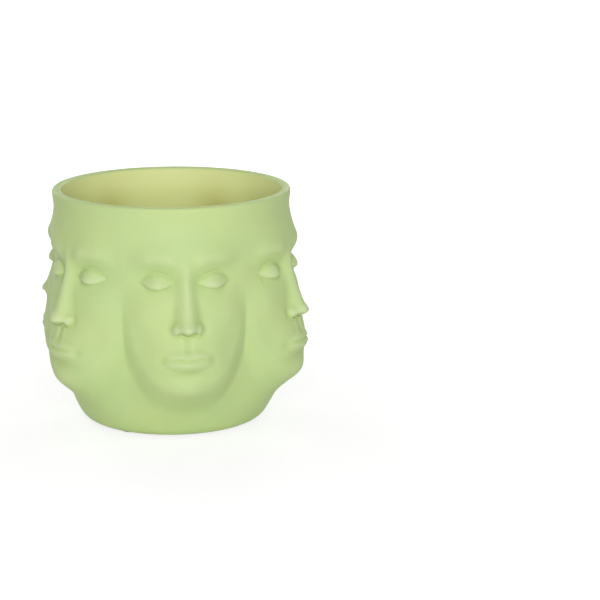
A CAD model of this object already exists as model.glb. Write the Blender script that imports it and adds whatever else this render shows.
"""Models and finishes a ceramic planter with a ring of relief heads, and sets it in a plain studio.

The file is laid out as a Blender add-on: its settings hold the sizes and finishes, each operator
makes one piece or the stage, and a sidebar panel lists them. Run as a script, it makes them all.
"""
import math
from types import SimpleNamespace as Form

import bpy
import numpy as np
from bpy.props import FloatProperty, FloatVectorProperty, IntProperty, PointerProperty
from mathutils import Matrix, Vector


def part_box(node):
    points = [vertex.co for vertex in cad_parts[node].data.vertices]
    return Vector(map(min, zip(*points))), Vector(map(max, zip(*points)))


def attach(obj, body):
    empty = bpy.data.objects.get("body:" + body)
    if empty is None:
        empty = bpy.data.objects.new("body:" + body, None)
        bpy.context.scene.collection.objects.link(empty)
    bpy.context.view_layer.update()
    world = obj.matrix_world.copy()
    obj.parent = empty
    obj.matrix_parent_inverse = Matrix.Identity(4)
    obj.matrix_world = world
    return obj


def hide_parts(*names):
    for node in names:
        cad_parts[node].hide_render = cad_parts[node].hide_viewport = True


bl_info = {
    "name": "Ceramic Head Planter",
    "version": (1, 0, 0),
    "blender": (4, 5, 0),
    "location": "View3D > Sidebar > Planter",
    "description": "Models a glazed planter with a ring of relief heads round its packed frame",
    "category": "Add Mesh",
}

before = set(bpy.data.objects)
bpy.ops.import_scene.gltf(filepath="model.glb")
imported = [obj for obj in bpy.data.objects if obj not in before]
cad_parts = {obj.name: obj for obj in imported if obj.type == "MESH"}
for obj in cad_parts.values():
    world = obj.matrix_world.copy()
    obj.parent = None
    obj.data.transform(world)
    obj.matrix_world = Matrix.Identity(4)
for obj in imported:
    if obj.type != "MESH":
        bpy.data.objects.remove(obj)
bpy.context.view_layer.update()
POT_LOW, POT_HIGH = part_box("pot_body")
NET_LOW, NET_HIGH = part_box("drain_screen")
PLUG_LOW, PLUG_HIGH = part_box("drain_plug")
PADS = sorted(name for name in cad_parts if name.startswith("foot_pad"))
PAD_LOW, PAD_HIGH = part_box(PADS[0])

MM = 0.001
EYES_ACROSS = 5

# Fineness of the pot's mesh: columns on a head, and the height of a row on each part of the wall
HEAD_COLUMNS = 84
COLUMN_SPREAD = 1.15  # over 1 draws the columns towards the middle of a face
FEATURE_ROW = 0.62 * MM
FACE_ROW = 1.2 * MM
PLAIN_ROW = 2.0 * MM
INSIDE_ROW = 6.0 * MM

# Fineness of the other shapes
EDGE_STEPS = 6
SMALL_EDGE_STEPS = 3
RING_STEPS = 96
BEAD_STEPS = 16
PAD_STEPS = 64
STRAND_SIDES = 12
RIB_ROW = 0.2 * MM
NET_SMOOTHING = 3
MERGE = 0.005 * MM
CREASE = math.radians(38)  # edges that turn more than this stay sharp

POOL_REACH = 2.5 * MM  # how far round a place its height is compared, to find creases and ridges
LOOKS_DOWN = -0.7  # a face whose normal's height is under this is part of the underside
RIB_POWER = 1.6  # over 1 makes the plug's ribs narrower than the gaps between them
FLOOR_SIZE = 12.0
FLOOR_SINK = 0.1 * MM  # keeps the studio floor clear of the pads' undersides

# Real sizes of the patterns in the finishes
GLAZE_DRIFT = 26 * MM
GLAZE_MELT = 9 * MM
GLAZE_PEEL = 1.6 * MM
GLAZE_PEEL_DEPTH = 0.02 * MM
BREAK_WIDE = 13 * MM  # half width and half height of a place where the inside glaze ran thin
BREAK_TALL = 15 * MM
PIT_SPACING = 12 * MM
PIT_RADIUS = 0.36 * MM
PIT_EDGE = 0.18 * MM
CLAY_GRAIN = 0.7 * MM
CLAY_GRAIN_DEPTH = 0.05 * MM
FLOW_MARK = 12  # length of a flow mark in a moulded piece, in grains of its mould

# A colour Mix node's sockets by number, because their names repeat
MIX_FACTOR, MIX_A, MIX_B, MIX_COLOUR = 0, 6, 7, 2


def linear(hex_colour):
    """An sRGB hex value as scene-linear red, green, blue and alpha."""
    channels = [int(hex_colour[i : i + 2], 16) / 255 for i in (1, 3, 5)]
    return tuple(c / 12.92 if c <= 0.04045 else ((c + 0.055) / 1.055) ** 2.4 for c in channels) + (1.0,)


def length(name, description, default):
    """A length setting, in metres."""
    return FloatProperty(name=name, description=description, default=default, unit="LENGTH", precision=4)


def angle(name, description, degrees):
    """An angle setting, written in degrees."""
    return FloatProperty(name=name, description=description, default=math.radians(degrees), subtype="ANGLE")


def factor(name, description, default):
    """A setting that is a share or a strength."""
    return FloatProperty(name=name, description=description, default=default, min=0.0, subtype="FACTOR")


def power(name, description, watts):
    """A lamp's power setting."""
    return FloatProperty(name=name, description=description, default=watts, min=0.0, subtype="POWER")


def colour(name, description, hex_colour):
    """A colour setting, written as an sRGB hex value."""
    value = linear(hex_colour)
    return FloatVectorProperty(name=name, description=description, default=value, size=4, subtype="COLOR")


# Settings


class PotSizes(bpy.types.PropertyGroup):
    """The vessel under the heads, with heights from its own foot"""

    foot_z: length("Foot level", "Height of the foot over the surface that the pads stand on", POT_LOW.z)
    height: length("Height", "From the foot to the rim", POT_HIGH.z - POT_LOW.z)
    foot_radius: length("Foot radius", "Where the line of the wall meets the base", 49.5 * MM)
    foot_rounding: length("Foot rounding", "Rounding between the base and the wall", 5.0 * MM)
    belly_radius: length("Belly radius", "The widest place of the vessel", 69.5 * MM)
    belly_z: length("Belly height", "Height of the widest place", 46.0 * MM)
    shoulder_radius: length("Shoulder radius", "Where the wall starts to draw in to the neck", 68.4 * MM)
    shoulder_drop: length("Shoulder drop", "From the rim down to the shoulder", 25.0 * MM)
    neck_radius: length("Neck radius", "The narrow place under the rim", 65.4 * MM)
    neck_drop: length("Neck drop", "From the rim down to the narrow place", 8.5 * MM)
    rim_radius: length("Rim radius", "Outside of the rim", 66.0 * MM)
    rim_rounding: length("Rim rounding", "Rounding of the rim's two edges", 1.9 * MM)
    wall: length("Wall", "Thickness of the cast wall", 6.2 * MM)
    lip: length("Lip", "Thickness of the wall at the rim", 5.0 * MM)
    floor_thick: length("Floor", "Thickness of the floor", 7.0 * MM)
    floor_corner: length("Floor corner", "Rounding between the inner floor and the wall", 12.0 * MM)
    foot_recess: length("Foot recess", "Depth of the hollow under the floor", 4.0 * MM)
    foot_ring: length("Foot ring", "Width of the flat ring that carries the pot", 11.0 * MM)
    drain_radius: length("Drain radius", "Radius of the drain hole", 8.0 * MM)
    drain_edge: length("Drain edge", "Softened edge of the drain hole and of the foot recess", 0.8 * MM)


class HeadSizes(bpy.types.PropertyGroup):
    """The ring of heads: where a face lies, and how far its parts stand out"""

    count: IntProperty(name="Heads", description="Heads round the pot", default=6, min=3, max=9)
    chin_z: length("Chin height", "From the foot to the chin", 24.0 * MM)
    brow_drop: length("Brow drop", "From the rim down to the brows", 28.5 * MM)
    face_overlap: length("Face overlap", "By which a face is wider than its share of the belly", 7.2 * MM)
    dome_rise: length("Dome rise", "Fullness of a head along its middle", 2.2 * MM)
    valley_depth: length("Valley depth", "Depth of the valley between two heads", 3.0 * MM)
    jaw_rise: length("Jaw rise", "How far the jaw stands out", 3.5 * MM)
    throat_depth: length("Throat depth", "How far the throat lies back", 2.0 * MM)
    brow_rise: length("Brow rise", "Height of the brow ridges", 1.9 * MM)
    eyelid_rise: length("Eyelid rise", "Fullness of the closed lids", 4.3 * MM)
    lash_step: length("Lash step", "Edge of the upper lid over the lower one", 1.2 * MM)
    lash_groove: length("Lash groove", "Depth of the line along the lashes", 0.6 * MM)
    lid_crease: length("Lid crease", "Depth of the fold over the lid", 0.85 * MM)
    nose_root_rise: length("Nose root rise", "Height of the nose between the eyes", 2.4 * MM)
    nose_bridge_rise: length("Nose bridge rise", "Height of the bridge over the tip", 8.3 * MM)
    nose_tip_rise: length("Nose tip rise", "Height of the ball of the nose", 9.2 * MM)
    nose_wing_rise: length("Nose wing rise", "Height of the wings of the nose", 4.2 * MM)
    upper_lip_rise: length("Upper lip rise", "Fullness of the upper lip", 2.0 * MM)
    lower_lip_rise: length("Lower lip rise", "Fullness of the lower lip", 2.3 * MM)
    lip_parting: length("Lip parting", "Depth of the line between the lips", 1.3 * MM)
    trough_depth: length("Trough depth", "Depth of the trough under the nose", 0.5 * MM)
    trough_ridge: length("Trough ridge", "Height of the ridges beside that trough", 0.3 * MM)


class FittingSizes(bpy.types.PropertyGroup):
    """The plug, the drain net and the pads"""

    fit_gap: length("Fit gap", "Gap between the plug and the pot", 0.3 * MM)
    plug_flange: length("Plug flange", "Thickness of the plug's flange", 2.2 * MM)
    plug_rib: length("Plug rib", "Height of the plug's sealing ribs", 0.7 * MM)
    plug_ribs: IntProperty(name="Plug ribs", description="Sealing ribs on the plug", default=2, min=1, max=4)
    plug_nose: length("Plug nose", "Taper at the top of the plug", 1.4 * MM)
    tab_width: length("Tab width", "Width of the plug's pull tab", 12.0 * MM)
    tab_thick: length("Tab thickness", "Thickness of the plug's pull tab", 3.0 * MM)
    tab_edge: length("Tab edge", "Rounding of the pull tab's edges", 0.7 * MM)
    net_pitch: length("Net pitch", "From one strand of the net to the next", 4.5 * MM)
    net_strand: length("Net strand", "Thickness of a strand", 1.1 * MM)
    net_lift: length("Net lift", "Height of the crossing strands over the first ones", 0.6 * MM)
    net_weld: length("Net weld", "Fineness of the welds where strands cross", 0.28 * MM)
    pad_edge: length("Pad edge", "Rounding of a pad's lower edge", 0.6 * MM)
    pad_groove: length("Pad groove", "Width of the grip grooves under a pad", 0.6 * MM)
    pad_pitch: length("Pad pitch", "From one grip groove to the next", 1.8 * MM)


class Finishes(bpy.types.PropertyGroup):
    """Colours of the materials"""

    glaze: colour("Glaze", "Pale pistachio glaze", "#C6D995")
    glaze_cool: colour("Cool glaze", "Where the spray lay a little thicker and greener", "#C2D896")
    glaze_pooled: colour("Pooled glaze", "Where the glaze lies thick, in hollows", "#B3C884")
    glaze_thin: colour("Thin glaze", "Where the glaze runs thin, on edges", "#D3E0B1")
    glaze_inside: colour("Inside glaze", "Warmer glaze poured inside the pot", "#E7EDAA")
    glaze_break: colour("Broken glaze", "Browner, where the inside glaze ran thin over ridges", "#CCCB7E")
    glaze_pit: colour("Glaze pit", "Pinholes in the inside glaze", "#BABD82")
    clay: colour("Fired clay", "Bare clay under the foot", "#E2D8C4")
    clay_grain: colour("Clay grain", "Darker grains in the bare clay", "#CBC1AD")
    silicone: colour("Silicone", "The drain plug", "#DADDD3")
    silicone_flow: colour("Silicone flow", "Paler flow marks in the plug", "#E6E9DF")
    net: colour("Net plastic", "The drain net", "#2E3431")
    net_flow: colour("Net flow", "Paler flow marks in the net", "#3A403D")
    pad: colour("Pad rubber", "The foot pads", "#C6CABF")
    pad_flow: colour("Pad flow", "Paler marks in the pads", "#D2D6CB")


class StageSettings(bpy.types.PropertyGroup):
    """The camera, the lamps and the floor"""

    azimuth: angle("Azimuth", "Camera's place round the pot", -6.0)
    distance: length("Distance", "From the pot's axis to the camera, on the level", 1.262)
    camera_z: length("Camera height", "Height of the camera over the floor", 0.3615)
    pitch: angle("Pitch", "How far the camera looks down", 13.17)
    yaw: angle("Yaw", "How far the camera is turned off the pot", 3.24)
    lens: FloatProperty(name="Lens", description="Focal length", default=138.4, subtype="DISTANCE_CAMERA")
    lamp_distance: length("Lamp distance", "From the pot to the lamps", 1.8)
    lamp_size: length("Lamp size", "Width of the lamps", 0.7)
    key_azimuth: angle("Key azimuth", "Front lamp's place round the pot", -5.0)
    key_elevation: angle("Key elevation", "Front lamp's height over the pot", 17.0)
    key_power: power("Key power", "Power of the front lamp", 18.2)
    back_spread: angle("Back spread", "Of the two back lamps, each way from the middle", 24.0)
    back_elevation: angle("Back elevation", "Back lamps' height over the pot", 24.0)
    back_power: power("Back power", "Power of each back lamp", 6.0)
    top_power: power("Top power", "Power of the lamp overhead", 1.5)
    sky: factor("Sky", "Strength of the even white light", 0.29)
    floor: colour("Floor", "Pale studio floor", "#F6F6F4")
    floor_shadow: colour("Floor shadow", "Part of the seen floor that the pot's shadow darkens", "#9E9E9E")
    glow_near: factor("Glow near", "Rest of the seen floor's white, beside the pot", 0.77)
    glow_far: factor("Glow far", "Rest of the seen floor's white, away from the pot", 1.0)
    glow_start: length("Glow start", "Where the floor starts to turn whiter", 0.1)
    glow_end: length("Glow end", "Where the floor is white like the backdrop", 0.6)


class PlanterSettings(bpy.types.PropertyGroup):
    """All settings of the planter"""

    pot: PointerProperty(name="Pot", description="Sizes of the vessel", type=PotSizes)
    heads: PointerProperty(name="Heads", description="Sizes of the heads", type=HeadSizes)
    fittings: PointerProperty(name="Fittings", description="Sizes of the fittings", type=FittingSizes)
    finishes: PointerProperty(name="Finishes", description="Colours of the materials", type=Finishes)
    stage: PointerProperty(name="Stage", description="Camera, lamps and floor", type=StageSettings)


# Shaping curves


def share(low, high, value):
    return np.clip((value - low) / (high - low), 0.0, 1.0)


def ease(low, high, value):
    t = share(low, high, value)
    return t * t * (3 - 2 * t)


def bell(offset, width):
    return np.exp(-((offset / width) ** 2))


def soft_max(a, b, blend):
    return (a + b + np.hypot(a - b, blend) - blend) / 2


# The form of the pot


def vessel_radius(pot, z):
    """Outer radius of the vessel without its heads, at a height over the foot."""
    shoulder_z, neck_z = pot.height - pot.shoulder_drop, pot.height - pot.neck_drop
    swell = (pot.belly_radius - pot.foot_radius) * np.sin(math.pi / 2 * share(0, pot.belly_z, z))
    upper = (pot.shoulder_radius - pot.belly_radius) * ease(pot.belly_z, shoulder_z, z)
    waist = (pot.neck_radius - pot.shoulder_radius) * ease(shoulder_z, neck_z, z)
    flare = (pot.rim_radius - pot.neck_radius) * ease(neck_z, pot.height - pot.rim_rounding, z)
    return pot.foot_radius + swell + upper + waist + flare


class HeadForm:
    """How far one head stands out from the vessel, by the rule of thirds and the rule of five eyes.

    A place on it is x, the distance from the middle of the face round the belly, and z, the height
    over the foot, and out is x without its sign. In the tables, wide and tall are half sizes, and
    a higher power makes a form squarer.
    """

    def __init__(self, pot, heads):
        self.pot, self.heads = pot, heads
        self.sector = 2 * math.pi * pot.belly_radius / heads.count
        self.eye = (self.sector + heads.face_overlap) / EYES_ACROSS
        self.brow_z = pot.height - heads.brow_drop
        self.third = (self.brow_z - heads.chin_z) / 2
        self.nose_z = heads.chin_z + self.third
        self.eye_z = self.brow_z - 0.3 * self.third
        self.mouth_z = self.nose_z - self.third / 3
        self.lay_out_head(self.third, self.eye)
        self.lay_out_eyes(self.eye_z, self.eye)
        self.lay_out_nose(self.nose_z, self.eye)
        self.lay_out_mouth(self.mouth_z, self.eye)
        self.lay_out_swellings(self.third, self.eye)

    def lay_out_head(self, third, eye):
        self.skull_form = Form(
            side_power=3.2,
            crown_low=self.eye_z - 0.1 * third,
            crown_high=self.pot.height - self.pot.neck_drop / 2,
            throat_low=self.pot.foot_rounding,
            throat_high=self.heads.chin_z + 0.2 * third,
        )
        self.jaw_form = Form(
            wide=2.32 * eye,
            power=2.2,
            edge_inside=0.86,  # where the edge of the face starts and ends, as shares of its outline
            edge_outside=1.17,
            fade_low=self.eye_z - 1.2 * third,
            fade_high=self.eye_z - 0.2 * third,
        )
        self.brow_form = Form(
            peak_out=1.05 * eye,
            peak_z=self.brow_z + 0.1 * eye,
            arch=0.156 / eye,  # how fast the line falls away from its peak
            tall=0.3 * eye,
            start_out=0.1 * eye,
            full_out=0.7 * eye,
            thin_out=1.2 * eye,
            end_out=2.1 * eye,
        )

    def lay_out_eyes(self, eye_z, eye):
        self.lid_form = Form(out=eye, z=eye_z, wide=0.68 * eye, tall=0.46 * eye)
        self.lash_form = Form(
            wide=0.56 * eye,
            corner_z=eye_z - 0.05 * eye,
            sag=0.17 * eye,  # by which the middle of the lash line hangs under its corners
            soft=0.055 * eye,
            tall=0.2 * eye,
            groove_drop=0.025 * eye,
            groove_tall=0.055 * eye,
            thin=0.7,  # where the line starts to run out and where it ends, as shares of its width
            end=1.15,
        )
        self.crease_form = Form(
            corner_z=eye_z + 0.08 * eye, arch=0.24 * eye, tall=0.075 * eye, thin=0.7, end=1.25
        )

    def lay_out_nose(self, nose_z, eye):
        tip_z = nose_z + 0.3 * eye
        self.nose_form = Form(
            root_z=self.eye_z + 0.12 * eye,
            tip_z=tip_z,
            root_fade=0.12,  # where the bridge starts to run out into the brow and where it ends,
            brow_fade=0.7,  # as shares of its length
            under_low=nose_z - 0.05 * eye,
            under_high=nose_z + 0.19 * eye,
            bridge_wide=0.34 * eye,
            bridge_flare=0.13 * eye,
            flare_power=1.3,
            ridge_power=1.1,
            side_inside=0.08,  # where the bridge's sides start and end, as shares of its half width
            side_outside=1.25,
            cap_power=0.6,
            blend=0.1 * eye,
        )
        self.tip_form = Form(
            out=0,
            z=tip_z - 0.03 * eye,
            wide=0.31 * eye,
            tall=0.28 * eye,
            rise=self.heads.nose_tip_rise,
        )
        self.wing_form = Form(
            out=0.32 * eye,
            z=nose_z + 0.2 * eye,
            wide=0.19 * eye,
            tall=0.21 * eye,
            rise=self.heads.nose_wing_rise,
        )

    def lay_out_mouth(self, mouth_z, eye):
        self.lip_form = Form(
            wide=0.8 * eye,
            droop=0.045 * eye,  # by which the corners lie under the middle
            dip=0.025 * eye,  # of the line between the lips, in its middle
            dip_wide=0.16 * eye,
            bow=0.03 * eye,  # the two peaks of the upper lip, and the notch between them
            bow_out=0.22 * eye,
            bow_wide=0.14 * eye,
            notch=0.05 * eye,
            notch_wide=0.12 * eye,
            edge=0.02 * eye,
            upper_tall=0.36 * eye,
            upper_power=0.6,
            lower_tall=0.42 * eye,
            lower_power=0.55,
            round_power=1.5,
            corner_power=0.8,
            parting_tall=0.06 * eye,
        )
        self.trough_form = Form(
            wide=0.1 * eye,
            ridge_out=0.18 * eye,
            ridge_wide=0.09 * eye,
            low_start=mouth_z + 0.24 * eye,
            low_end=mouth_z + 0.42 * eye,
            high_start=self.nose_z - 0.1 * eye,
            high_end=self.nose_z + 0.03 * eye,
        )

    def lay_out_swellings(self, third, eye):
        """Soft swellings and hollows: place out from the middle, height, half width, half height, rise."""
        brow_z, eye_z, nose_z = self.brow_z, self.eye_z, self.nose_z
        mouth_z, chin_z = self.mouth_z, self.heads.chin_z
        self.swellings = {
            "glabella": (0, brow_z, 0.5 * eye, 0.45 * eye, 0.6 * MM),
            "socket": (0.96 * eye, eye_z + 0.1 * eye, 0.8 * eye, 0.47 * eye, -3.9 * MM),
            "inner corner": (0.48 * eye, eye_z, 0.26 * eye, 0.36 * eye, -1.1 * MM),
            "cheekbone": (1.55 * eye, nose_z + 0.26 * third, 0.62 * eye, 0.25 * third, 1.9 * MM),
            "cheek hollow": (1.5 * eye, mouth_z, 0.55 * eye, 0.28 * third, -1.2 * MM),
            "nose fold": (0.52 * eye, nose_z + 0.16 * eye, 0.13 * eye, 0.26 * eye, -0.6 * MM),
            "nostril": (0.185 * eye, nose_z + 0.06 * eye, 0.1 * eye, 0.075 * eye, -2.0 * MM),
            "mouth swell": (0, mouth_z + 0.06 * eye, 0.95 * eye, 0.78 * eye, 2.6 * MM),
            "mouth corner": (0.8 * eye, mouth_z - 0.05 * eye, 0.17 * eye, 0.15 * eye, -0.7 * MM),
            "under lip": (0, mouth_z - 0.55 * eye, 0.62 * eye, 0.18 * eye, -1.5 * MM),
            "chin": (0, chin_z + 0.22 * third, 0.62 * eye, 0.19 * third, 3.2 * MM),
        }

    def skull(self, x, z):
        """The head is full along its middle and falls away to the valley beside the next one."""
        form, rise, depth = self.skull_form, self.heads.dome_rise, self.heads.valley_depth
        side = np.sin(math.pi / 2 * share(0, self.sector / 2, np.abs(x))) ** form.side_power
        crown = 1 - ease(form.crown_low, form.crown_high, z)
        throat = ease(form.throat_low, form.throat_high, z)
        return (rise - (rise + depth) * side) * crown * throat

    def jaw(self, x, z):
        """The egg outline of the face, standing out over the throat."""
        form, rise, depth = self.jaw_form, self.heads.jaw_rise, self.heads.throat_depth
        across = np.abs(x) / form.wide
        down = np.maximum(self.eye_z - z, 0) / (self.eye_z - self.heads.chin_z)
        reach = (across**form.power + down**form.power) ** (1 / form.power)
        inside = 1 - ease(form.edge_inside, form.edge_outside, reach)
        fade = ease(0, self.heads.chin_z, z) * (1 - ease(form.fade_low, form.fade_high, z))
        return (inside * (rise + depth) - depth) * fade

    def swell(self, out, z):
        total = 0.0
        for place, level, wide, tall, rise in self.swellings.values():
            total = total + rise * bell(out - place, wide) * bell(z - level, tall)
        return total

    def brow(self, out, z):
        form = self.brow_form
        line = form.peak_z - form.arch * (out - form.peak_out) ** 2
        span = ease(form.start_out, form.full_out, out) * (1 - ease(form.thin_out, form.end_out, out))
        return self.heads.brow_rise * bell(z - line, form.tall) * span

    def reach(self, form, out, z):
        """Distance from the middle of a form, as a share of its half sizes."""
        return np.hypot((out - form.out) / form.wide, (z - form.z) / form.tall)

    def eyelids(self, out, z):
        """A closed lid: its dome, the step and groove along the lashes, and the fold above."""
        heads, lash, crease = self.heads, self.lash_form, self.crease_form
        from_middle = np.minimum(self.reach(self.lid_form, out, z), 1)
        dome = heads.eyelid_rise * (1 + np.cos(math.pi * from_middle)) / 2
        aside = np.abs(out - self.lid_form.out) / lash.wide
        arch = 1 - aside**2
        over_lash = z - (lash.corner_z - lash.sag * arch)
        step = heads.lash_step * (ease(-lash.soft, lash.soft, over_lash) - 0.5) * bell(over_lash, lash.tall)
        groove = heads.lash_groove * bell(over_lash + lash.groove_drop, lash.groove_tall)
        over_crease = z - (crease.corner_z + crease.arch * arch)
        fold = heads.lid_crease * bell(over_crease, crease.tall) * (1 - ease(crease.thin, crease.end, aside))
        return dome + (step - groove) * (1 - ease(lash.thin, lash.end, aside)) - fold

    def nose_cap(self, cap, out, z):
        return cap.rise * np.maximum(1 - self.reach(cap, out, z) ** 2, 0) ** self.nose_form.cap_power

    def nose(self, out, z):
        heads, form = self.heads, self.nose_form
        long = form.root_z - form.tip_z
        down = share(form.root_z, form.tip_z, z)
        climb = heads.nose_bridge_rise - heads.nose_root_rise
        ridge = heads.nose_root_rise + climb * down**form.ridge_power
        above = 1 - ease(form.root_z - form.root_fade * long, form.root_z + form.brow_fade * long, z)
        under = ease(form.under_low, form.under_high, z)
        wide = form.bridge_wide + form.bridge_flare * down**form.flare_power
        bridge = ridge * above * under * (1 - ease(form.side_inside, form.side_outside, out / wide))
        ridge_and_tip = soft_max(bridge, self.nose_cap(self.tip_form, out, z), form.blend)
        return soft_max(ridge_and_tip, self.nose_cap(self.wing_form, out, z), form.blend)

    def lips(self, out, z):
        """Two full lips with a bow, the line between them, and the trough under the nose."""
        heads, form = self.heads, self.lip_form
        aside = out / form.wide
        taper = np.maximum(1 - aside**2, 0)
        line = self.mouth_z - form.droop * aside**2 - form.dip * bell(out, form.dip_wide)
        bow = form.bow * bell(out - form.bow_out, form.bow_wide) - form.notch * bell(out, form.notch_wide)
        up = (z - line) / (form.edge + form.upper_tall * taper**form.upper_power + bow * taper)
        down = (line - z) / (form.edge + form.lower_tall * taper**form.lower_power)
        upper = np.where(up >= 0, heads.upper_lip_rise * np.maximum(1 - up**2, 0) ** form.round_power, 0)
        lower = np.where(down > 0, heads.lower_lip_rise * np.maximum(1 - down**2, 0) ** form.round_power, 0)
        parting = heads.lip_parting * bell(z - line, form.parting_tall) * np.sqrt(taper)
        return (upper + lower) * taper**form.corner_power - parting + self.trough(out, z)

    def trough(self, out, z):
        form = self.trough_form
        ridges = self.heads.trough_ridge * bell(out - form.ridge_out, form.ridge_wide)
        groove = self.heads.trough_depth * bell(out, form.wide)
        low = ease(form.low_start, form.low_end, z)
        high = 1 - ease(form.high_start, form.high_end, z)
        return (ridges - groove) * low * high

    def outside(self, x, z):
        out = np.abs(x)
        form = self.skull(x, z) + self.jaw(x, z) + self.swell(out, z) + self.brow(out, z)
        return form + self.eyelids(out, z) + self.nose(out, z) + self.lips(out, z)

    def inside(self, x, z):
        """The cast wall follows the heads softly on the inside, without their features."""
        return self.skull(x, z) / 2 + self.jaw(x, z)

    def inner_radius(self, z):
        """Radius of the inner wall behind the middle of a face."""
        pot = self.pot
        wall = pot.wall + (pot.lip - pot.wall) * ease(self.brow_z, pot.height, z)
        return vessel_radius(pot, z) - wall + self.inside(0.0, z)

    def hollow(self, x, z, reach):
        """How deep a place lies under its surroundings: over zero in creases, under zero on ridges."""
        steps = ((reach, 0), (-reach, 0), (0, reach), (0, -reach))
        around = sum(self.outside(x + dx, z + dz) for dx, dz in steps)
        return around / len(steps) - self.outside(x, z)


# Modelling


def start():
    """Object mode with nothing selected, so that the next operator acts on its own piece alone."""
    if bpy.context.mode != "OBJECT":
        bpy.ops.object.mode_set(mode="OBJECT")
    bpy.ops.object.select_all(action="DESELECT")


def settle(name):
    """Gives the active object its name, with its place in its mesh."""
    piece = bpy.context.object
    bpy.ops.object.transform_apply(location=True, rotation=True, scale=True)
    piece.name = name
    piece.data.name = name
    return piece


def pick(*pieces):
    """Selects pieces alone, the first of them active."""
    start()
    for piece in pieces:
        piece.select_set(True)
    bpy.context.view_layer.objects.active = pieces[0]


def rounded(begin, corner, end, steps=EDGE_STEPS):
    """Points along a rounded corner of a profile, without its first one."""
    a, b, c = (np.array(p) for p in (begin, corner, end))
    shares = np.arange(1, steps + 1) / steps
    return [tuple((1 - t) ** 2 * a + 2 * t * (1 - t) * b + t * t * c) for t in shares]


def rows(low, high, step):
    """Heights from low to high, about a step apart, without the first one."""
    count = math.ceil(abs(high - low) / step)
    return [low + (high - low) * (i + 1) / count for i in range(count)]


def turned(name, profile, steps, sweep=2 * math.pi):
    """Draws a profile of (radius, height) points from one extruded vertex, and spins it round Z from +X."""
    start()
    radius, z = profile[0]
    bpy.ops.mesh.primitive_plane_add(size=MM, location=(radius, 0, z))
    piece = settle(name)
    bpy.ops.object.mode_set(mode="EDIT")
    bpy.ops.mesh.select_all(action="SELECT")
    bpy.ops.mesh.merge(type="CENTER")
    for (r0, z0), (r1, z1) in zip(profile, profile[1:]):
        bpy.ops.mesh.extrude_region_move(TRANSFORM_OT_translate={"value": (r1 - r0, 0, z1 - z0)})
    bpy.ops.mesh.select_all(action="SELECT")
    bpy.ops.mesh.spin(steps=steps, angle=sweep, center=(0, 0, 0), axis=(0, 0, 1))
    close()
    return piece


def close():
    """Merges the seams of the mesh in edit mode, turns its faces outwards and leaves it smooth."""
    bpy.ops.mesh.select_all(action="SELECT")
    bpy.ops.mesh.remove_doubles(threshold=MERGE)
    bpy.ops.mesh.normals_make_consistent(inside=False)
    bpy.ops.object.mode_set(mode="OBJECT")
    bpy.ops.object.shade_smooth()


def copied_round(count):
    """Repeats the active piece's mesh round Z, and joins the copies into one closed skin."""
    bpy.ops.object.mode_set(mode="EDIT")
    bpy.ops.mesh.select_all(action="SELECT")
    for _ in range(count - 1):
        bpy.ops.mesh.duplicate()
        bpy.ops.transform.rotate(value=2 * math.pi / count, orient_axis="Z", center_override=(0, 0, 0))
    close()


def coordinates(mesh):
    """The mesh's vertices as rows of x, y and z."""
    flat = np.empty(3 * len(mesh.vertices))
    mesh.vertices.foreach_get("co", flat)
    return flat.reshape(-1, 3)


def mark(mesh, name, values):
    """Stores one number for each vertex, for a material to read."""
    numbers = np.asarray(values, dtype=np.float32)
    mesh.attributes.new(name, "FLOAT", "POINT").data.foreach_set("value", numbers)


def dress(piece, body, node, slot, *materials):
    """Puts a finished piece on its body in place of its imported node."""
    for material in materials:
        piece.data.materials.append(material)
    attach(piece, body)
    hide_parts(node)


def underside(pot):
    """The section from the drain hole out over the foot ring and up to the wall."""
    edge, recess = pot.drain_edge, pot.foot_recess
    flat_r = pot.foot_radius - pot.foot_rounding
    recess_r = flat_r - pot.foot_ring
    wall_foot = (float(vessel_radius(pot, pot.foot_rounding)), pot.foot_rounding)
    hole_r = pot.drain_radius
    points = [(hole_r, recess + edge)]
    points += rounded(points[-1], (hole_r, recess), (hole_r + edge, recess), SMALL_EDGE_STEPS)
    points.append((recess_r - recess, recess))
    points += rounded(points[-1], (recess_r, recess), (recess_r, edge))
    points += rounded(points[-1], (recess_r, 0), (recess_r + edge, 0), SMALL_EDGE_STEPS)
    points.append((flat_r, 0))
    return points + rounded(points[-1], (pot.foot_radius, 0), wall_foot)


def outer_wall(pot, form, rim_z):
    """The section up the outside, with closer rows where a face has its features."""
    margin = form.eye / 2
    bands = (
        (form.heads.chin_z, PLAIN_ROW),
        (form.mouth_z - margin, FACE_ROW),
        (form.nose_z + margin, FEATURE_ROW),
        (form.eye_z - margin, FACE_ROW),
        (form.brow_z, FEATURE_ROW),
        (rim_z, PLAIN_ROW),
    )
    points = []
    low = pot.foot_rounding
    for high, step in bands:
        points += [(float(vessel_radius(pot, z)), z) for z in rows(low, high, step)]
        low = high
    return points


def rim(pot, rim_z):
    """The section over the rim, from its outer edge to the mouth."""
    top, rim_r, mouth_r = pot.height, pot.rim_radius, pot.rim_radius - pot.lip
    points = rounded((rim_r, rim_z), (rim_r, top), (rim_r - pot.rim_rounding, top))
    points.append((mouth_r + pot.rim_rounding, top))
    return points + rounded(points[-1], (mouth_r, top), (mouth_r, rim_z))


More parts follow.
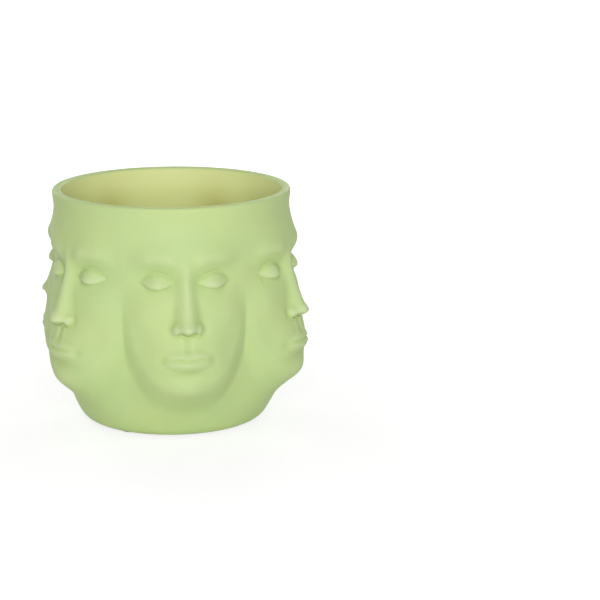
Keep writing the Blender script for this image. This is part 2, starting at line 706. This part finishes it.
def inner_wall(pot, form, rim_z):
    """The section down the inside and along the floor to the drain hole."""
    edge, floor_z, hole_r = pot.drain_edge, pot.foot_recess + pot.floor_thick, pot.drain_radius
    heights = rows(rim_z, floor_z + pot.floor_corner, INSIDE_ROW)
    points = [(float(form.inner_radius(z)), z) for z in heights]
    corner_r = float(form.inner_radius(floor_z))
    points += rounded(points[-1], (corner_r, floor_z), (corner_r - pot.floor_corner, floor_z))
    points.append((hole_r + edge, floor_z))
    return points + rounded(points[-1], (hole_r, floor_z), (hole_r, floor_z - edge), SMALL_EDGE_STEPS)


def pot_profile(pot, form):
    """The pot's whole section, from the drain hole round and back to it."""
    rim_z = pot.height - pot.rim_rounding
    points = underside(pot) + outer_wall(pot, form, rim_z)
    points += rim(pot, rim_z) + inner_wall(pot, form, rim_z)
    points.append(points[0])
    return [(r, z + pot.foot_z) for r, z in points]


def shape_head(piece, pot, form):
    """Moves one head's share of the turned wall out and in to the head, which looks along -Y."""
    mesh = piece.data
    place = coordinates(mesh)
    z = place[:, 2] - pot.foot_z
    radius = np.hypot(place[:, 0], place[:, 1])
    spun = np.abs(np.arctan2(place[:, 1], place[:, 0]))
    aside = spun * form.heads.count / math.pi - 1
    x = np.sign(aside) * np.abs(aside) ** COLUMN_SPREAD * form.sector / 2
    bearing = x / pot.belly_radius
    outer = radius > (vessel_radius(pot, z) + form.inner_radius(z)) / 2
    within = ~outer & (z > pot.foot_recess + pot.floor_thick / 2)
    corner_r = form.inner_radius(pot.foot_recess + pot.floor_thick)
    inner = within * ease(corner_r - pot.floor_corner, corner_r, radius)
    moved = radius + outer * form.outside(x, z) + inner * (form.inside(x, z) - form.inside(0.0, z))
    place[:, 0] = moved * np.sin(bearing)
    place[:, 1] = -moved * np.cos(bearing)
    mesh.vertices.foreach_set("co", place.ravel())
    mesh.update()
    mark(mesh, "glaze_pool", outer * form.hollow(x, z, POOL_REACH) / MM)
    inside = within * ease(0, pot.rim_rounding, pot.height - z)
    mark(mesh, "glaze_inside", inside)
    ridge = bell(np.abs(x) - form.sector / 2, BREAK_WIDE) * bell(z - form.brow_z, BREAK_TALL)
    mark(mesh, "glaze_break", inside * ridge)


def bare_foot(piece, pot):
    """Gives the second material to the faces of the foot ring, which is wiped clean before firing."""
    ring_top = pot.foot_z + pot.drain_edge
    for face in piece.data.polygons:
        face.material_index = int(face.normal.z < LOOKS_DOWN and face.center.z < ring_top)


# Materials


def add(tree, kind, settings=None, links=None):
    """Adds a node with its settings and links. A key is a property, or a socket's name or number."""
    node = tree.nodes.new("ShaderNode" + kind)
    for key, value in (settings or {}).items():
        if isinstance(key, str) and hasattr(node, key):
            setattr(node, key, value)
        else:
            node.inputs[key].default_value = value
    for key, source in (links or {}).items():
        tree.links.new(source, node.inputs[key])
    return node


def new_material(name):
    """An empty node material, with its tree and its Object coordinates."""
    material = bpy.data.materials.new(name)
    material.use_nodes = True
    tree = material.node_tree
    tree.nodes.clear()
    return material, tree, add(tree, "TexCoord").outputs["Object"]


def finish_material(tree, base, rough, height, depth, ior, shine=0.5):
    """Wires a colour, a roughness and a bump of a depth in metres to the shader."""
    bump = add(tree, "Bump", {"Strength": 1.0, "Distance": depth}, {"Height": height})
    links = {"Base Color": base, "Roughness": rough, "Normal": bump.outputs["Normal"]}
    shader = add(tree, "BsdfPrincipled", {"IOR": ior, "Specular IOR Level": shine}, links)
    add(tree, "OutputMaterial", links={"Surface": shader.outputs["BSDF"]})


def satin_glaze(finishes):
    """Stoneware under a sprayed satin glaze, then fired.

    It is half matt, with a faint orange peel and a slow drift of hue, deeper where the glaze pools
    in creases and paler where it thins on ridges. The inside was poured: it is warmer, browner where
    it ran thin over the soft ridges between the heads, and has a few pinholes.
    """
    material, tree, place = new_material("satin_glaze_on_stoneware")
    inside = add(tree, "Attribute", {"attribute_name": "glaze_inside"}).outputs["Fac"]
    breaks = add(tree, "Attribute", {"attribute_name": "glaze_break"}).outputs["Fac"]
    pool = add(tree, "Attribute", {"attribute_name": "glaze_pool"}).outputs["Fac"]
    spray = add(tree, "TexNoise", {"Scale": 1 / GLAZE_DRIFT, "Detail": 2.0}, {"Vector": place}).outputs["Fac"]
    drift = add(tree, "MapRange", {"From Min": 0.35, "From Max": 0.65}, {"Value": spray}).outputs["Result"]
    limits = {"From Min": 0.02, "From Max": 0.7, "To Max": 0.55}
    thick = add(tree, "MapRange", limits, {"Value": pool}).outputs["Result"]
    limits = {"From Min": -0.05, "From Max": -0.8, "To Max": 0.5}
    thin = add(tree, "MapRange", limits, {"Value": pool}).outputs["Result"]
    bubbles = add(tree, "TexVoronoi", {"Scale": 1 / PIT_SPACING}, {"Vector": place}).outputs["Distance"]
    limits = {"From Min": (PIT_RADIUS + PIT_EDGE) / PIT_SPACING, "From Max": PIT_RADIUS / PIT_SPACING}
    burst = add(tree, "MapRange", limits, {"Value": bubbles}).outputs["Result"]
    pits = add(tree, "Math", {"operation": "MULTIPLY"}, {0: burst, 1: inside}).outputs[0]
    colours = {"data_type": "RGBA", MIX_A: tuple(finishes.glaze), MIX_B: tuple(finishes.glaze_cool)}
    coat = add(tree, "Mix", colours, {MIX_FACTOR: drift}).outputs[MIX_COLOUR]
    layers = (
        (inside, finishes.glaze_inside),
        (breaks, finishes.glaze_break),
        (thick, finishes.glaze_pooled),
        (thin, finishes.glaze_thin),
        (pits, finishes.glaze_pit),
    )
    for cover, tint in layers:
        colours = {"data_type": "RGBA", MIX_B: tuple(tint)}
        coat = add(tree, "Mix", colours, {MIX_FACTOR: cover, MIX_A: coat}).outputs[MIX_COLOUR]
    melt = add(tree, "TexNoise", {"Scale": 1 / GLAZE_MELT}, {"Vector": place}).outputs["Fac"]
    limits = {"From Min": 0.3, "From Max": 0.7, "To Min": 0.5, "To Max": 0.62}
    rough = add(tree, "MapRange", limits, {"Value": melt}).outputs["Result"]
    peel = add(tree, "TexNoise", {"Scale": 1 / GLAZE_PEEL}, {"Vector": place}).outputs["Fac"]
    finish_material(tree, coat, rough, peel, GLAZE_PEEL_DEPTH, ior=1.5, shine=0.2)
    return material


def fired_clay(finishes):
    """Bare stoneware, wiped clean of glaze: dull and cream, with a fine darker grain."""
    material, tree, place = new_material("bare_fired_clay")
    grain = add(tree, "TexNoise", {"Scale": 1 / CLAY_GRAIN, "Detail": 4.0}, {"Vector": place}).outputs["Fac"]
    limits = {"From Min": 0.45, "From Max": 0.75, "To Max": 0.6}
    specks = add(tree, "MapRange", limits, {"Value": grain}).outputs["Result"]
    colours = {"data_type": "RGBA", MIX_A: tuple(finishes.clay), MIX_B: tuple(finishes.clay_grain)}
    body = add(tree, "Mix", colours, {MIX_FACTOR: specks}).outputs[MIX_COLOUR]
    limits = {"From Min": 0.3, "From Max": 0.7, "To Min": 0.8, "To Max": 0.95}
    rough = add(tree, "MapRange", limits, {"Value": grain}).outputs["Result"]
    finish_material(tree, body, rough, grain, CLAY_GRAIN_DEPTH, ior=1.55)
    return material


def moulded(name, tints, grit, depth, roughness, ior):
    """Moulded rubber or plastic: one colour with faint flow marks, and the grit of its mould.

    Real mould grit is about 0.1 mm. It is drawn a few times as coarse, as it needs to show.
    """
    material, tree, place = new_material(name)
    swirl = add(tree, "TexNoise", {"Scale": 1 / (FLOW_MARK * grit)}, {"Vector": place}).outputs["Fac"]
    limits = {"From Min": 0.3, "From Max": 0.7, "To Max": 0.6}
    flow = add(tree, "MapRange", limits, {"Value": swirl}).outputs["Result"]
    colours = {"data_type": "RGBA", MIX_A: tuple(tints[0]), MIX_B: tuple(tints[1])}
    body = add(tree, "Mix", colours, {MIX_FACTOR: flow}).outputs[MIX_COLOUR]
    grain = add(tree, "TexNoise", {"Scale": 1 / grit, "Detail": 3.0}, {"Vector": place}).outputs["Fac"]
    limits = {"From Min": 0.3, "From Max": 0.7, "To Min": roughness[0], "To Max": roughness[1]}
    rough = add(tree, "MapRange", limits, {"Value": grain}).outputs["Result"]
    finish_material(tree, body, rough, grain, depth, ior)
    return material


# Operators


class PLANTER_OT_pot(bpy.types.Operator):
    """Turn the pot, press its ring of heads out of the wall and glaze it"""

    bl_idname = "planter.pot"
    bl_label = "Pot"

    def execute(self, context):
        settings = context.scene.planter
        pot, count = settings.pot, settings.heads.count
        form = HeadForm(pot, settings.heads)
        piece = turned("glazed_pot", pot_profile(pot, form), HEAD_COLUMNS, 2 * math.pi / count)
        shape_head(piece, pot, form)
        copied_round(count)
        finishes = settings.finishes
        dress(piece, "pot", "pot_body", "glaze", satin_glaze(finishes), fired_clay(finishes))
        bare_foot(piece, pot)
        return {"FINISHED"}


class PLANTER_OT_net(bpy.types.Operator):
    """Weld crossing strands and a beaded edge into the drain net"""

    bl_idname = "planter.net"
    bl_label = "Drain net"

    def execute(self, context):
        settings = context.scene.planter
        sizes, finishes = settings.fittings, settings.finishes
        bead = (NET_HIGH.z - NET_LOW.z) / 2
        ring_r = (NET_HIGH.x - NET_LOW.x) / 2 - bead
        start()
        bpy.ops.mesh.primitive_torus_add(
            major_radius=ring_r,
            minor_radius=bead,
            major_segments=RING_STEPS,
            minor_segments=BEAD_STEPS,
            location=(0, 0, NET_LOW.z + bead),
        )
        piece = settle("drain_net")
        pick(piece, *self.strands(sizes, ring_r))
        bpy.ops.object.join()
        piece.data.remesh_voxel_size = sizes.net_weld
        bpy.ops.object.voxel_remesh()
        bpy.ops.object.modifier_add(type="SMOOTH")
        piece.modifiers["Smooth"].iterations = NET_SMOOTHING
        bpy.ops.object.modifier_apply(modifier="Smooth")
        bpy.ops.object.shade_smooth()
        plastic = moulded(
            "moulded_polypropylene",
            tints=(finishes.net, finishes.net_flow),
            grit=0.5 * MM,
            depth=0.02 * MM,
            roughness=(0.4, 0.55),
            ior=1.49,
        )
        dress(piece, "screen", "drain_screen", "net_plastic", plastic)
        return {"FINISHED"}

    def strands(self, sizes, ring_r):
        """Strands along X, and over them strands along Y, each as long as the ring is wide there."""
        radius = sizes.net_strand / 2
        low_z = NET_LOW.z + radius
        high_z = low_z + sizes.net_lift
        count = int(ring_r / sizes.net_pitch)
        made = []
        for i in range(-count, count):
            off = (i + 0.5) * sizes.net_pitch
            chord = 2 * math.sqrt(ring_r**2 - off**2)
            for place, turn in (((0, off, low_z), 0.0), ((off, 0, high_z), math.pi / 2)):
                bpy.ops.mesh.primitive_cylinder_add(
                    vertices=STRAND_SIDES,
                    radius=radius,
                    depth=chord,
                    location=place,
                    rotation=(0, math.pi / 2, turn),
                )
                made.append(bpy.context.object)
        return made


class PLANTER_OT_plug(bpy.types.Operator):
    """Turn the drain plug with its ribs and weld its pull tab to it"""

    bl_idname = "planter.plug"
    bl_label = "Drain plug"

    def execute(self, context):
        settings = context.scene.planter
        pot, sizes, finishes = settings.pot, settings.fittings, settings.finishes
        seat_z = pot.foot_z + pot.foot_recess - sizes.fit_gap
        flange_z = seat_z - sizes.plug_flange
        piece = turned("drain_stopper", self.profile(pot, sizes, seat_z, flange_z), RING_STEPS)
        tab = self.tab(sizes, flange_z + sizes.plug_flange / 2)
        pick(piece)
        bpy.ops.object.modifier_add(type="BOOLEAN")
        weld = piece.modifiers["Boolean"]
        weld.operation = "UNION"
        weld.object = tab
        bpy.ops.object.modifier_apply(modifier="Boolean")
        bpy.data.objects.remove(tab)
        bpy.ops.object.shade_smooth_by_angle(angle=CREASE)
        silicone = moulded(
            "moulded_silicone",
            tints=(finishes.silicone, finishes.silicone_flow),
            grit=0.4 * MM,
            depth=0.01 * MM,
            roughness=(0.42, 0.55),
            ior=1.41,
        )
        dress(piece, "plug", "drain_plug", "plug_rubber", silicone)
        return {"FINISHED"}

    def profile(self, pot, sizes, seat_z, flange_z):
        """The section from the axis under the flange, round it and up the ribbed neck to its nose."""
        flange_r = (PLUG_HIGH.x - PLUG_LOW.x) / 2
        core_r = pot.drain_radius - sizes.fit_gap - sizes.plug_rib
        edge = sizes.plug_flange / 3
        top, neck_z, nose_z = PLUG_HIGH.z, seat_z + edge, PLUG_HIGH.z - sizes.plug_nose
        points = [(0, flange_z), (flange_r - edge, flange_z)]
        points += rounded(points[-1], (flange_r, flange_z), (flange_r, flange_z + edge))
        points.append((flange_r, seat_z - edge))
        points += rounded(points[-1], (flange_r, seat_z), (flange_r - edge, seat_z))
        points.append((core_r + edge, seat_z))
        points += rounded(points[-1], (core_r, seat_z), (core_r, neck_z))
        for z in rows(neck_z, nose_z, RIB_ROW):
            wave = 2 * math.pi * sizes.plug_ribs * share(neck_z, nose_z, z)
            points.append((core_r + sizes.plug_rib * ((1 - math.cos(wave)) / 2) ** RIB_POWER, z))
        points += rounded(points[-1], (core_r, top), (core_r - sizes.plug_nose, top))
        points.append((0, top))
        return points

    def tab(self, sizes, top_z):
        """A tab with soft edges, from the lowest point of the plug up into its flange."""
        start()
        bpy.ops.mesh.primitive_cube_add(size=1.0, location=(0, 0, (PLUG_LOW.z + top_z) / 2))
        bpy.context.object.scale = (sizes.tab_width, sizes.tab_thick, top_z - PLUG_LOW.z)
        tab = settle("pull_tab")
        bpy.ops.object.mode_set(mode="EDIT")
        bpy.ops.mesh.select_all(action="SELECT")
        bpy.ops.mesh.bevel(offset=sizes.tab_edge, segments=SMALL_EDGE_STEPS, affect="EDGES")
        bpy.ops.object.mode_set(mode="OBJECT")
        return tab


class PLANTER_OT_pads(bpy.types.Operator):
    """Turn one grip pad with its grooves and set a copy under the foot in each pad's place"""

    bl_idname = "planter.pads"
    bl_label = "Foot pads"

    def execute(self, context):
        settings = context.scene.planter
        finishes = settings.finishes
        rubber = moulded(
            "die_cut_rubber",
            tints=(finishes.pad, finishes.pad_flow),
            grit=0.35 * MM,
            depth=0.04 * MM,
            roughness=(0.72, 0.9),
            ior=1.52,
        )
        first = turned("grip_pad", self.profile(settings.fittings), PAD_STEPS)
        bpy.ops.object.shade_smooth_by_angle(angle=CREASE)
        for number, node in enumerate(PADS, 1):
            low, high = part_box(node)
            pick(first)
            bpy.ops.object.duplicate()
            context.object.location = ((low.x + high.x) / 2, (low.y + high.y) / 2, 0)
            dress(settle(f"grip_pad_{number}"), "pot", node, "pad_rubber", rubber)
        bpy.data.objects.remove(first)
        return {"FINISHED"}

    def profile(self, sizes):
        """The section from the axis out over the grooved underside, and up and back over the flat top."""
        radius, top = (PAD_HIGH.x - PAD_LOW.x) / 2, PAD_HIGH.z
        edge, groove = sizes.pad_edge, sizes.pad_groove
        depth = groove / 2
        points = [(0, 0)]
        for ring in range(int((radius - edge) / sizes.pad_pitch)):
            r = sizes.pad_pitch * (ring + 0.5)
            points += [(r - groove / 2, 0), (r - groove / 4, depth)]
            points += [(r + groove / 4, depth), (r + groove / 2, 0)]
        points.append((radius - edge, 0))
        points += rounded(points[-1], (radius, 0), (radius, edge))
        points.append((radius, top - edge / 3))
        points += rounded(points[-1], (radius, top), (radius - edge / 3, top), SMALL_EDGE_STEPS)
        points.append((0, top))
        return points


class PLANTER_OT_stage(bpy.types.Operator):
    """Set the floor, the lamps, the even white light and the camera"""

    bl_idname = "planter.stage"
    bl_label = "Stage"

    def execute(self, context):
        stage = context.scene.planter.stage
        self.floor(stage)
        self.world(context, stage)
        aside, high, watts = math.pi - stage.back_spread, stage.back_elevation, stage.back_power
        self.lamp(stage, "front_lamp", stage.key_azimuth, stage.key_elevation, stage.key_power)
        self.lamp(stage, "left_back_lamp", -aside, high, watts)
        self.lamp(stage, "right_back_lamp", aside, high, watts)
        self.lamp(stage, "top_lamp", 0.0, math.pi / 2, stage.top_power)
        self.camera(context, stage)
        context.scene.view_settings.view_transform = "Standard"
        return {"FINISHED"}

    def seen(self, tree):
        """1 for what the camera sees, straight or in a reflection or through glass."""
        path = add(tree, "LightPath").outputs
        either = {0: path["Is Camera Ray"], 1: path["Is Glossy Ray"]}
        seen = add(tree, "Math", {"operation": "MAXIMUM"}, either).outputs[0]
        either = {0: seen, 1: path["Is Transmission Ray"]}
        return add(tree, "Math", {"operation": "MAXIMUM"}, either).outputs[0]

    def floor(self, stage):
        """A matt floor. Where it is seen, most of its white is a glow, and the rest keeps the shadow."""
        start()
        bpy.ops.mesh.primitive_plane_add(size=FLOOR_SIZE, location=(0, 0, -FLOOR_SINK))
        floor = settle("studio_floor")
        material, tree, place = new_material("matt_white_sweep")
        plain = add(tree, "BsdfDiffuse", {"Color": tuple(stage.floor)}).outputs[0]
        shaded = add(tree, "BsdfDiffuse", {"Color": tuple(stage.floor_shadow)}).outputs[0]
        away = add(tree, "VectorMath", {"operation": "LENGTH"}, {0: place}).outputs["Value"]
        limits = {
            "From Min": stage.glow_start,
            "From Max": stage.glow_end,
            "To Min": stage.glow_near,
            "To Max": stage.glow_far,
        }
        strength = add(tree, "MapRange", limits, {"Value": away}).outputs["Result"]
        glow = add(tree, "Emission", links={"Strength": strength}).outputs[0]
        pale = add(tree, "AddShader", links={0: shaded, 1: glow}).outputs[0]
        mix = add(tree, "MixShader", links={0: self.seen(tree), 1: plain, 2: pale}).outputs[0]
        add(tree, "OutputMaterial", links={"Surface": mix})
        floor.data.materials.append(material)

    def world(self, context, stage):
        """An even white light, and plain white where the camera sees it."""
        world = bpy.data.worlds.new("white_studio")
        context.scene.world = world
        world.use_nodes = True
        tree = world.node_tree
        tree.nodes.clear()
        white = linear("#FFFFFF")
        light = add(tree, "Background", {"Color": white, "Strength": stage.sky}).outputs[0]
        backdrop = add(tree, "Background", {"Color": white, "Strength": 1.0}).outputs[0]
        mix = add(tree, "MixShader", links={0: self.seen(tree), 1: light, 2: backdrop}).outputs[0]
        add(tree, "OutputWorld", links={"Surface": mix})

    def lamp(self, stage, name, azimuth, elevation, watts):
        """A soft round lamp that faces the pot."""
        start()
        level = math.cos(elevation)
        way = Vector((level * math.sin(azimuth), -level * math.cos(azimuth), math.sin(elevation)))
        place = (POT_LOW + POT_HIGH) / 2 + stage.lamp_distance * way
        bpy.ops.object.light_add(type="AREA", location=place)
        lamp = bpy.context.object
        lamp.name = name
        lamp.data.shape = "DISK"
        lamp.data.size = stage.lamp_size
        lamp.data.energy = watts
        lamp.rotation_euler = way.to_track_quat("Z", "Y").to_euler()

    def camera(self, context, stage):
        start()
        side, back = math.sin(stage.azimuth), -math.cos(stage.azimuth)
        bpy.ops.object.camera_add(
            location=(stage.distance * side, stage.distance * back, stage.camera_z),
            rotation=(math.pi / 2 - stage.pitch, 0, stage.azimuth - stage.yaw),
        )
        camera = context.object
        camera.name = "photo_camera"
        camera.data.lens = stage.lens
        context.scene.camera = camera


class PLANTER_PT_sidebar(bpy.types.Panel):
    """Lists the planter's pieces and the stage"""

    bl_idname = "PLANTER_PT_sidebar"
    bl_label = "Planter"
    bl_space_type = "VIEW_3D"
    bl_region_type = "UI"
    bl_category = "Planter"

    def draw(self, context):
        for operator in OPERATORS:
            self.layout.operator(operator.bl_idname)


OPERATORS = (PLANTER_OT_pot, PLANTER_OT_net, PLANTER_OT_plug, PLANTER_OT_pads, PLANTER_OT_stage)
GROUPS = (PotSizes, HeadSizes, FittingSizes, Finishes, StageSettings, PlanterSettings)
CLASSES = GROUPS + OPERATORS + (PLANTER_PT_sidebar,)


def register():
    for cls in CLASSES:
        bpy.utils.register_class(cls)
    bpy.types.Scene.planter = PointerProperty(
        name="Planter", description="Settings of the ceramic planter", type=PlanterSettings
    )


def unregister():
    del bpy.types.Scene.planter
    for cls in reversed(CLASSES):
        bpy.utils.unregister_class(cls)


def main():
    register()
    bpy.ops.planter.pot()
    bpy.ops.planter.net()
    bpy.ops.planter.plug()
    bpy.ops.planter.pads()
    bpy.ops.planter.stage()


if __name__ == "__main__":
    main()
